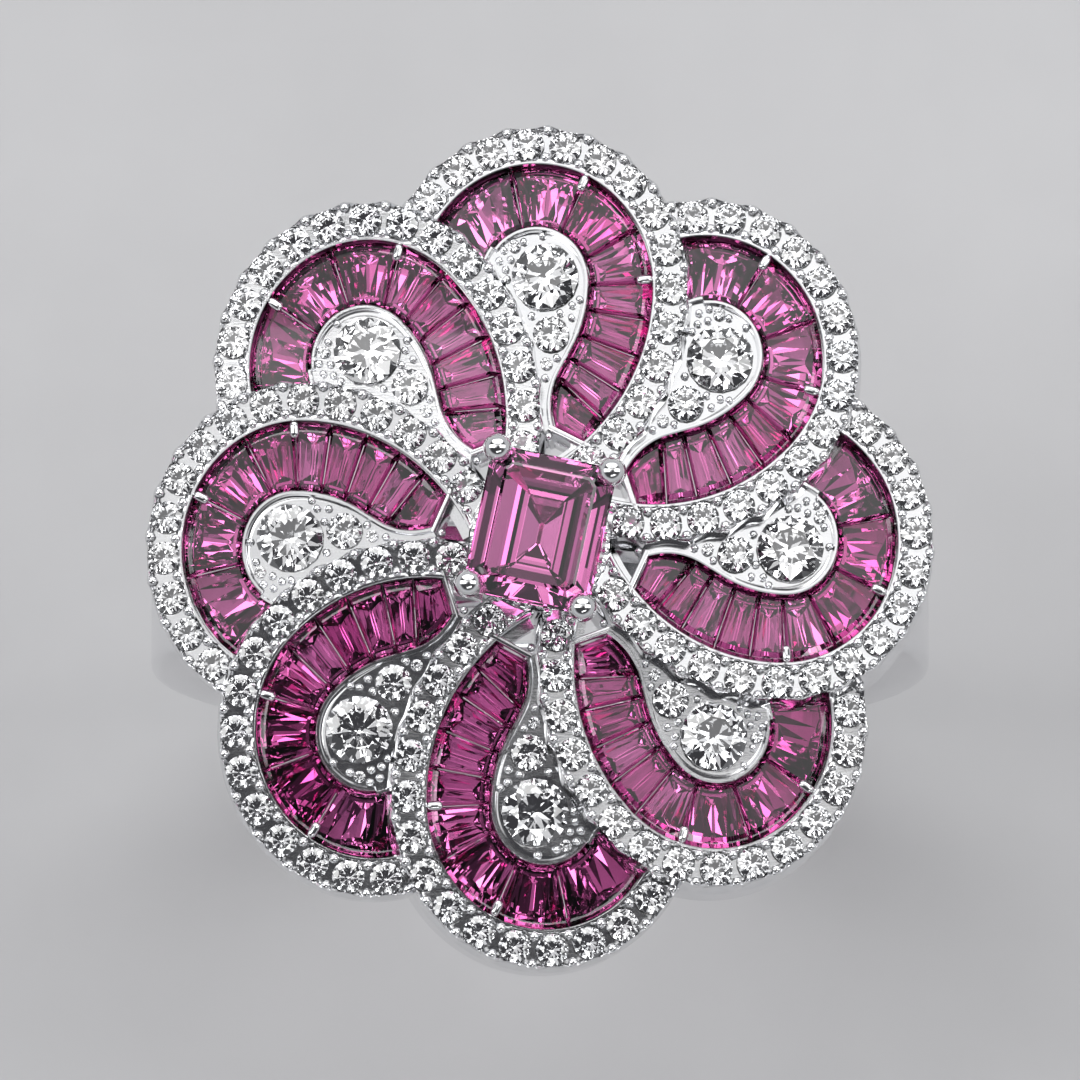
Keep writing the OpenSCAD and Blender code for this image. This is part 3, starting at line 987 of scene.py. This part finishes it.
    def pieces(self) -> list[Piece]:
        """The petal's five pieces."""
        rim_spots = [(float(x), float(y), STONES.rim_d) for x, y in RIM.stones]
        return [Piece(self.node(name), self.node(node), *rest) for name, node, *rest in (
            ("casting", "frame", Slot.WHITE, 38.0, self.casting()),
            ("pink_row", "calibre", Slot.CALIBRE, None, self.pink_row()),
            ("bar_prongs", "prongs", Slot.WHITE, 60.0, self.bars()),
            ("rim_brilliants", "rim_diamonds", Slot.DIAMOND, None, self.brilliants(rim_spots)),
            ("eye_brilliants", "eye_diamonds", Slot.DIAMOND, None,
             self.brilliants(list(STONES.eye_stones))),
        )]


# --- centre

@dataclass
class CentreSetting:
    """The raised centre stone, the turned basket under it and its four claws."""

    sizes: CentreSizes = CENTRE
    claw_over: float = 0.3
    bead_r: float = 0.13
    bead_rise: float = 0.1
    bead_step: float = 10.0
    skirt: float = 0.35

    def octagon(self, inset: float, along_x: float) -> np.ndarray:
        """Outline of the stone drawn in by a margin: a rectangle with cut corners.

        Args:
            inset: Margin.
            along_x: Share of the half width that is kept, for the steps towards the keel.

        Returns:
            Eight plan points.
        """
        w = max(self.sizes.width / 2 - inset, 0.25) * along_x
        l = self.sizes.length / 2 - inset
        c = min(max(self.sizes.corner - 0.59 * inset, 0.03), w * 0.6)
        return np.array([[w - c, l], [-w + c, l], [-w, l - c], [-w, -l + c],
                         [-w + c, -l], [w - c, -l], [w, -l + c], [w, l - c]])

    def stone(self) -> MeshBuilder:
        """The step-cut centre stone: rings of its outline at falling margins, down to a keel.

        Each step holds a margin, the share of the width kept, a height and its level of painted
        shade, 0 for the darkest painted colour.
        """
        c = self.sizes
        steps = (
            (0.5, 1.0, c.crown, 1.0), (0.42, 1.0, c.crown * 0.93, 0.95),
            (0.05, 1.0, 0.13, 0.55), (0.0, 1.0, 0.06, 0.4), (0.0, 1.0, -0.06, 0.4),
            (0.32, 0.97, -0.42, 0.7), (1.0, 0.75, -1.0, 1.0), (1.62, 0.2, -c.keel, 1.0),
        )
        rings = [np.hstack([self.octagon(m, x), np.full((8, 1), z)]) for m, x, z, _ in steps]
        points = np.array(rings) @ turn(2, -c.turn).T + [0, 0, HEAD_Z + c.rise]
        # Painted shade: the zone levels darken the stone towards its girdle.
        zone = np.tile(np.array([step[-1] for step in steps])[:, None], (1, 8))
        mesh = MeshBuilder()
        mesh.add_loops(points, zone=zone)
        return mesh

    def basket(self) -> MeshBuilder:
        """The turned cup: one closed profile carried round the head's axis.

        The profile's corners are a radius and a height each, up the outside and down the inside.
        """
        r, inner = self.sizes.collar_r, self.sizes.collar_r - self.sizes.collar_t
        low, high = box_mm("centre_basket")
        foot, top = float(low[2]) + 0.02, float(high[2])
        skirt = HEAD_Z - PLAN.height - self.skirt
        profile = np.array([
            [inner - 0.45, foot], [r - 0.1, foot], [r - 0.1, foot + 0.45],
            [r - 0.35, foot + 0.6], [r - 0.45, foot + 0.8], [r - 0.4, skirt - 0.2],
            [r - 0.1, skirt - 0.04], [r, skirt + 0.05], [r, top - 0.12],
            [r - 0.04, top - 0.03], [r - 0.14, top], [inner + 0.14, top],
            [inner + 0.03, top - 0.04], [inner, top - 0.14],
            [inner - 0.2, skirt + 0.5], [inner - 0.45, skirt],
        ])
        mesh = MeshBuilder()
        mesh.add_loops(np.swapaxes(lathe(profile, 96), 0, 1), ring=True)
        points, faces = metal_bead(self.bead_r, self.bead_rise)
        for angle in np.arange(0.0, 360.0, self.bead_step):
            x, y = turned(np.array([r - 0.14, 0.0]), float(angle))
            mesh.add(points + [x, y, top - 0.02], faces)
        return mesh

    def claws(self) -> MeshBuilder:
        """The four claws: each a leaning wire that swells into a ball over the stone's corner."""
        c = self.sizes
        corner_x, corner_y = (
            side / 2 - c.corner / 2 + c.claw_out * math.sqrt(0.5) for side in (c.width, c.length))
        base, top = c.collar_r - c.wire_d / 2 - 0.02, HEAD_Z + c.collar_rise
        reach = math.hypot(corner_x, corner_y) - base
        rise = HEAD_Z + c.rise + self.claw_over - top
        lean, wire = math.degrees(math.atan2(reach, rise)), math.hypot(reach, rise)
        r, w = c.claw_d / 2, c.wire_d / 2
        ball = np.radians(np.linspace(-46, 90, 13))[:-1]
        profile = np.vstack([
            [[w, -0.25], [w, 0.1], [w - 0.03, wire * 0.45], [w, wire - r * 0.9]],
            np.stack([r * np.cos(ball), wire + r * np.sin(ball)], axis=-1),
            [[0.02, wire + r]],
        ])
        mesh = MeshBuilder()
        loops = lathe(profile, 32) @ turn(1, lean).T + [base, 0, top]
        for sx, sy in ((1, 1), (-1, 1), (-1, -1), (1, -1)):
            angle = math.degrees(math.atan2(sy * corner_y, sx * corner_x)) - c.turn
            mesh.add_loops(loops @ turn(2, angle).T)
        return mesh

    def pieces(self) -> list[Piece]:
        """The three pieces in the middle of the head."""
        return [
            Piece("centre_cup", "centre_basket", Slot.WHITE, 38.0, self.basket()),
            Piece("centre_ball_claws", "centre_claws", Slot.WHITE, 50.0, self.claws()),
            Piece("centre_step_cut", "centre_stone", Slot.CENTRE, None, self.stone()),
        ]


# --- band

@dataclass
class FingerBand:
    """The shank, its shoulders, and the gallery ring and posts under the head."""

    edge: float = 0.25
    sizes: GallerySizes = GALLERY

    def __post_init__(self) -> None:
        """Reads the shank's radii, width and the gallery's heights from the CAD nodes."""
        low, high = box_mm("shank")
        self.outer_r = float(high[0])
        self.width = float(high[1] - low[1])
        bore = next(m for m in frame["record"]["mounts"] if m["name"] == "finger_bore")
        self.inner_r = float(bore["dims"]["r_mm"])
        gallery_low, gallery_high = box_mm("gallery_ring")
        self.gallery_z = float(gallery_low[2])
        self.gallery_top = float(gallery_high[2])
        self.gallery_r = float(gallery_high[0]) - self.sizes.width / 2

    def shank(self) -> MeshBuilder:
        """The finger band: a rectangle with round corners carried round the finger's axis."""
        section = rounded_section(self.outer_r - self.inner_r, self.width, self.edge, 7)
        radius = section[:, 0] + (self.outer_r + self.inner_r) / 2
        a = round_angles(256)[:, None]
        loops = np.stack([radius * np.sin(a), section[:, 1] + 0 * a, radius * np.cos(a)], axis=-1)
        mesh = MeshBuilder()
        mesh.add_loops(loops, ring=True)
        return mesh

    def shoulder(self, side: int) -> MeshBuilder:
        """A shoulder: rounded sections swept up a curve from the band to the gallery ring.

        The outer line is a three-point curve that leaves the band along its surface. The inner
        line runs straight up from the band's outer surface.

        Args:
            side: 1 for the right shoulder and -1 for the left.

        Returns:
            The shoulder's shapes.
        """
        sizes, half = self.sizes, self.sizes.width / 2
        start = math.radians(sizes.shoulder_start)
        out = np.array([math.cos(start), math.sin(start)])
        foot = self.outer_r * out
        bend = foot + sizes.shoulder_bend * self.outer_r * np.array([-out[1], out[0]])
        top = np.array([self.gallery_r + half - sizes.tuck, self.gallery_z + 2 * sizes.tuck])
        t = np.linspace(0.0, 1.0, 40)[:, None]
        outer = (1 - t) ** 2 * foot + 2 * t * (1 - t) * bend + t**2 * top
        root_r = self.outer_r - sizes.shoulder_root
        band = np.sqrt(np.clip(root_r**2 - outer[:, 1] ** 2, 0, None))
        inner_x = np.maximum(band, self.gallery_r - half + sizes.tuck)
        thick = outer[:, 0] - np.minimum(inner_x, outer[:, 0] - 0.02)
        wide = self.width - 2 * sizes.shoulder_inset
        sections = []
        for (x, z), depth in zip(outer, thick):
            ring = rounded_section(float(depth), wide, min(sizes.edge, depth * 0.45), 5)
            sections.append(np.stack([
                side * (ring[:, 0] + x - depth / 2), ring[:, 1], np.full(len(ring), z)], axis=-1))
        mesh = MeshBuilder()
        mesh.add_loops(np.array(sections))
        return mesh

    def gallery(self) -> MeshBuilder:
        """The gallery ring: a rounded section carried round an oval."""
        height = self.gallery_top - self.gallery_z
        section = rounded_section(self.sizes.width, height, self.sizes.edge, 5)
        a = round_angles(192)[:, None]
        radius = self.gallery_r + section[:, 0]
        z = section[:, 1] + (self.gallery_z + self.gallery_top) / 2 + 0 * a
        loops = np.stack([radius * np.cos(a), radius * np.sin(a) * PLAN.oval, z], axis=-1)
        mesh = MeshBuilder()
        mesh.add_loops(loops, ring=True)
        return mesh

    def posts(self) -> MeshBuilder:
        """The posts: waisted pins from the gallery ring into the underside of each rim."""
        mesh = MeshBuilder()
        place = RIM.points(np.array([RIM.lobe_len]), 0.0)
        radius = self.sizes.post_d / 2 * np.array([1.0, 0.95, 0.82, 0.82, 0.95, 1.0])
        rise = np.array([0.0, 0.08, 0.3, 0.7, 0.92, 1.0])
        z0 = self.gallery_top - self.sizes.tuck
        for k in range(PETALS):
            spot = on_head(k, place)
            x, y = turned(spot, -STEP * k)[0]
            z1 = to_ring(k, np.append(spot[0], -PLAN.height))[2] + 0.03
            profile = np.stack([radius, z0 + rise * (z1 - z0)], axis=-1)
            mesh.add_loops(lathe(profile, 24) + [x, y, 0])
        return mesh

    def pieces(self) -> list[Piece]:
        """The five pieces under the head."""
        return [
            Piece("finger_band", "shank", Slot.SHANK, 50.0, self.shank()),
            *(Piece(f"shoulder_gusset_{side}", f"shoulder_{side}", Slot.SHANK, 40.0,
                    self.shoulder(way)) for side, way in (("right", 1), ("left", -1))),
            Piece("gallery_oval", "gallery_ring", Slot.WHITE, 40.0, self.gallery()),
            Piece("gallery_pins", "gallery_posts", Slot.WHITE, 50.0, self.posts()),
        ]


# --- finishes

Colour = tuple[float, float, float]


@dataclass(frozen=True)
class MetalFinish:
    """A polished white metal with fine wear."""

    name: str
    colour: Colour
    shade: Colour
    rough_low: float
    rough_high: float
    scratch: float


@dataclass(frozen=True)
class StoneFinish:
    """A clear cut stone."""

    name: str
    pale: Colour
    deep: Colour
    # Colour of the painted shade at the stone's rim.
    edge: Colour
    ior: float
    rough: float


RHODIUM = MetalFinish(
    "rhodium_white", (0.85, 0.85, 0.86), (0.78, 0.785, 0.80), 0.08, 0.19, 0.10)
WORN_BAND = MetalFinish(
    "worn_band", (0.90, 0.90, 0.91), (0.84, 0.845, 0.86), 0.09, 0.2, 0.25)
DIAMOND = StoneFinish(
    "clear_brilliant", (0.99, 0.99, 1.0), (0.95, 0.965, 0.99), (0.97, 0.975, 0.99), 2.417, 0.0)
# The third colour of each stone is its painted rim shade.
CALIBRE = StoneFinish(
    "rose_step_cut", (0.78, 0.19, 0.50), (0.58, 0.05, 0.28), (0.16, 0.01, 0.06), 1.77, 0.01)
HEART = StoneFinish(
    "rose_centre", (0.84, 0.28, 0.58), (0.76, 0.16, 0.46), (0.55, 0.03, 0.28), 1.77, 0.0)


def fill(node: bpy.types.Node, values: dict[str | int, object]) -> None:
    """Sets constants on a node's input sockets."""
    for socket, value in values.items():
        node.inputs[socket].default_value = value


def add_node(tree: bpy.types.NodeTree, kind: str,
             values: dict[str | int, object] | None = None) -> bpy.types.Node:
    """Adds a node, with constants on its input sockets."""
    node = tree.nodes.new(kind)
    fill(node, values or {})
    return node


def add_ramp(tree: bpy.types.NodeTree, low: Colour, high: Colour,
             start: float, end: float) -> bpy.types.Node:
    """Adds a ramp from one colour to another between two places."""
    node = add_node(tree, "ShaderNodeValToRGB")
    stops = node.color_ramp.elements
    stops[0].position, stops[1].position = start, end
    stops[0].color, stops[1].color = (*low, 1.0), (*high, 1.0)
    return node


def wire(tree: bpy.types.NodeTree,
         *links: tuple[bpy.types.Node, str, bpy.types.Node, str | int]) -> None:
    """Joins sockets; each link is a node, its output, another node and its input."""
    for source, output, target, entry in links:
        tree.links.new(source.outputs[output], target.inputs[entry])


def new_material(name: str) -> tuple[bpy.types.Material, bpy.types.NodeTree, bpy.types.Node]:
    """A material, its node tree and its Principled BSDF node."""
    material = bpy.data.materials.new(name)
    material.use_nodes = True
    return material, material.node_tree, material.node_tree.nodes["Principled BSDF"]


class Finishes:
    """Every material, and the shader groups that they share."""

    def __init__(self) -> None:
        """Makes the shared groups and one material for each slot."""
        self.wear_group, self.tone_group = self._wear_group(), self._tone_group()
        metals = {Slot.WHITE: RHODIUM, Slot.SHANK: WORN_BAND}
        stones = {Slot.DIAMOND: DIAMOND, Slot.CALIBRE: CALIBRE, Slot.CENTRE: HEART}
        self.materials = {slot: self._metal(look) for slot, look in metals.items()}
        self.materials |= {slot: self._stone(look) for slot, look in stones.items()}

    @staticmethod
    def _group(name: str, entries: tuple[str, ...], exits: tuple[str, ...],
               ) -> tuple[bpy.types.NodeTree, bpy.types.Node, bpy.types.Node]:
        """Starts a shader group with named plain inputs and outputs.

        Returns:
            The group, its input node and its output node.
        """
        group = bpy.data.node_groups.new(name, "ShaderNodeTree")
        for way, labels in (("INPUT", entries), ("OUTPUT", exits)):
            for label in labels:
                group.interface.new_socket(name=label, in_out=way, socket_type="NodeSocketFloat")
        return group, add_node(group, "NodeGroupInput"), add_node(group, "NodeGroupOutput")

    def _wear_group(self) -> bpy.types.NodeTree:
        """Shared polish: a slow cloud for the tone and fine scratches for gloss and height."""
        group, given, out = self._group(
            "polish_wear", ("Cloud Scale", "Scratch Scale"), ("Tone", "Gloss", "Height"))
        place = add_node(group, "ShaderNodeTexCoord")
        cloud = add_node(group, "ShaderNodeTexNoise", {"Detail": 3.0})
        stretch = add_node(group, "ShaderNodeMapping", {
            "Scale": (1.0, 7.0, 2.0), "Rotation": (0.3, 0.2, 0.6)})
        lines = add_node(group, "ShaderNodeTexNoise", {"Detail": 4.0, "Roughness": 0.65})
        mix = add_node(group, "ShaderNodeMath")
        mix.operation = "MULTIPLY"
        wire(
            group,
            (place, "Object", cloud, "Vector"),
            (place, "Object", stretch, "Vector"),
            (stretch, "Vector", lines, "Vector"),
            (given, "Cloud Scale", cloud, "Scale"),
            (given, "Scratch Scale", lines, "Scale"),
            (cloud, "Fac", mix, 0),
            (lines, "Fac", mix, 1),
            (cloud, "Fac", out, "Tone"),
            (mix, "Value", out, "Gloss"),
            (lines, "Fac", out, "Height"),
        )
        return group

    def _tone_group(self) -> bpy.types.NodeTree:
        """Shared stone colour: each stone's own tone and a soft cloud, and the painted shade level
        that darkens each stone towards its rim.
        """
        group, given, out = self._group("stone_tone", ("Zone Scale",), ("Tone", "Middle"))
        place = add_node(group, "ShaderNodeTexCoord")
        # The 'zone' attribute holds the painted shade level, 0 at a stone's rim.
        own, middle = (add_node(group, "ShaderNodeAttribute") for _ in range(2))
        own.attribute_name, middle.attribute_name = "tint", "zone"
        zone = add_node(group, "ShaderNodeTexNoise", {"Detail": 2.0})
        blend = add_node(group, "ShaderNodeMath", {1: 0.6})
        blend.operation = "MULTIPLY_ADD"
        soft = add_node(group, "ShaderNodeMath", {1: 0.5})
        soft.operation = "MULTIPLY"
        wire(
            group,
            (place, "Object", zone, "Vector"),
            (given, "Zone Scale", zone, "Scale"),
            (own, "Fac", blend, 0),
            (zone, "Fac", soft, 0),
            (soft, "Value", blend, 2),
            (blend, "Value", out, "Tone"),
            (middle, "Fac", out, "Middle"),
        )
        return group

    def _metal(self, look: MetalFinish) -> bpy.types.Material:
        """A polished metal: tone and gloss follow the wear, and scratches lift the surface."""
        material, tree, shader = new_material(look.name)
        fill(shader, {"Metallic": 1.0})
        wear = add_node(tree, "ShaderNodeGroup")
        wear.node_tree = self.wear_group
        fill(wear, {"Cloud Scale": 900.0, "Scratch Scale": 2600.0})
        ramp = add_ramp(tree, look.shade, look.colour, 0.25, 0.7)
        gloss = add_node(tree, "ShaderNodeMapRange", {
            "From Min": 0.1, "From Max": 0.45, "To Min": look.rough_low, "To Max": look.rough_high})
        bump = add_node(tree, "ShaderNodeBump", {"Strength": look.scratch, "Distance": 0.00001})
        wire(
            tree,
            (wear, "Tone", ramp, "Fac"),
            (ramp, "Color", shader, "Base Color"),
            (wear, "Gloss", gloss, "Value"),
            (gloss, "Result", shader, "Roughness"),
            (wear, "Height", bump, "Height"),
            (bump, "Normal", shader, "Normal"),
        )
        return material

    def _stone(self, look: StoneFinish) -> bpy.types.Material:
        """A clear stone whose body colour moves a little from stone to stone and inside one,
        painted darker towards its rim as painted shade.
        """
        material, tree, shader = new_material(look.name)
        fill(shader, {"Transmission Weight": 1.0, "IOR": look.ior, "Roughness": look.rough})
        tone = add_node(tree, "ShaderNodeGroup")
        tone.node_tree = self.tone_group
        fill(tone, {"Zone Scale": 700.0})
        ramp = add_ramp(tree, look.deep, look.pale, 0.15, 0.85)
        # Painted shade: towards each stone's rim the body colour is mixed into the dark edge
        # colour.
        blend = add_node(tree, "ShaderNodeMix")
        blend.data_type = "RGBA"
        fill(blend, {"A": (*look.edge, 1.0)})
        wire(
            tree,
            (tone, "Tone", ramp, "Fac"),
            (tone, "Middle", blend, "Factor"),
            (ramp, "Color", blend, "B"),
            (blend, "Result", shader, "Base Color"),
        )
        return material


# --- studio

@dataclass(frozen=True)
class SoftBox:
    """A large soft light aimed at the head; angles in degrees and lengths in metres."""

    name: str
    azimuth: float
    elevation: float
    width: float
    height: float
    watts: float
    distance: float = 0.6


@dataclass
class Studio:
    """The pale floor, the soft lights and the camera."""

    view_elevation: float = 80.0
    distance: float = 0.35
    frame_width: float = 0.0272
    sensor: float = 36.0
    floor_half: float = 2.0
    boxes: tuple[SoftBox, ...] = (
        SoftBox("veil", 180.0, 83.0, 0.5, 0.08, 0.1),
        SoftBox("back_high", 180.0, 65.0, 0.7, 0.2, 0.5),
        SoftBox("back_low", 180.0, 40.0, 0.9, 0.28, 2.7),
        SoftBox("left_high", 268.0, 76.0, 0.2, 0.2, 0.1),
        SoftBox("left", 265.0, 48.0, 0.22, 0.5, 1.25),
        SoftBox("right", 95.0, 48.0, 0.22, 0.5, 0.95),
        SoftBox("front_strip", 15.0, 48.0, 0.4, 0.06, 0.35),
    )

    @staticmethod
    def put(name: str, data: bpy.types.ID, azimuth: float, elevation: float,
            distance: float) -> bpy.types.Object:
        """Adds a lamp or camera that faces the head from an azimuth and elevation in degrees."""
        a, e = math.radians(azimuth), math.radians(elevation)
        back = Vector((math.sin(a) * math.cos(e), -math.cos(a) * math.cos(e), math.sin(e)))
        thing = bpy.data.objects.new(name, data)
        thing.location = Vector((0, 0, HEAD_Z * MM)) + back * distance
        thing.rotation_euler = (-back).to_track_quat("-Z", "Y").to_euler()
        bpy.context.scene.collection.objects.link(thing)
        return thing

    def lights(self) -> None:
        """Adds the soft boxes and the room's even light."""
        for box in self.boxes:
            data = bpy.data.lights.new(box.name, "AREA")
            data.shape = "RECTANGLE"
            data.size, data.size_y = box.width, box.height
            data.energy = box.watts
            self.put(box.name, data, box.azimuth, box.elevation, box.distance)
        world = bpy.data.worlds.new("room")
        world.use_nodes = True
        tree = world.node_tree
        place, split = (add_node(tree, f"ShaderNode{kind}") for kind in ("TexCoord", "SeparateXYZ"))
        ramp = add_ramp(tree, (0.55, 0.56, 0.58), (0.05, 0.05, 0.055), 0.3, 0.5)
        wire(
            tree,
            (place, "Generated", split, "Vector"),
            (split, "Z", ramp, "Fac"),
            (ramp, "Color", tree.nodes["Background"], "Color"),
        )
        bpy.context.scene.view_settings.view_transform = "Standard"
        bpy.context.scene.world = world

    def floor(self) -> None:
        """Adds the pale floor under the band's lowest point."""
        size, z = self.floor_half, float(box_mm("shank")[0][2]) * MM
        corners = [(-size, -size, z), (size, -size, z), (size, size, z), (-size, size, z)]
        mesh = bpy.data.meshes.new("floor")
        mesh.from_pydata(corners, [], [(0, 1, 2, 3)])
        material, tree, shader = new_material("pale_floor")
        fill(shader, {"Roughness": 0.6})
        place = add_node(tree, "ShaderNodeTexCoord")
        paper = add_node(tree, "ShaderNodeTexNoise", {"Scale": 300.0})
        ramp = add_ramp(tree, (0.51, 0.51, 0.52), (0.525, 0.525, 0.535), 0.3, 0.7)
        wire(
            tree,
            (place, "Object", paper, "Vector"),
            (paper, "Fac", ramp, "Fac"),
            (ramp, "Color", shader, "Base Color"),
        )
        mesh.materials.append(material)
        floor = bpy.data.objects.new("floor", mesh)
        bpy.context.scene.collection.objects.link(floor)

    def camera(self) -> None:
        """Adds the camera, high in front of the head with a long lens."""
        data = bpy.data.cameras.new("camera")
        data.sensor_width = self.sensor
        data.lens = self.sensor * self.distance / self.frame_width
        data.clip_start, data.clip_end = 0.01, 10.0
        camera = self.put("camera", data, 0.0, self.view_elevation, self.distance)
        bpy.context.scene.camera = camera

    def build(self) -> None:
        """Adds the camera, the floor and the lights."""
        self.camera()
        self.floor()
        self.lights()


def main() -> None:
    """Builds the studio and every piece of the ring."""
    Studio().build()
    materials = Finishes().materials
    petals = [Petal(number) for number in range(1, PETALS + 1)]
    for group in (FingerBand(), CentreSetting(), *petals):
        for piece in group.pieces():
            piece.settle(materials)
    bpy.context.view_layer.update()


if __name__ == "__main__":
    main()
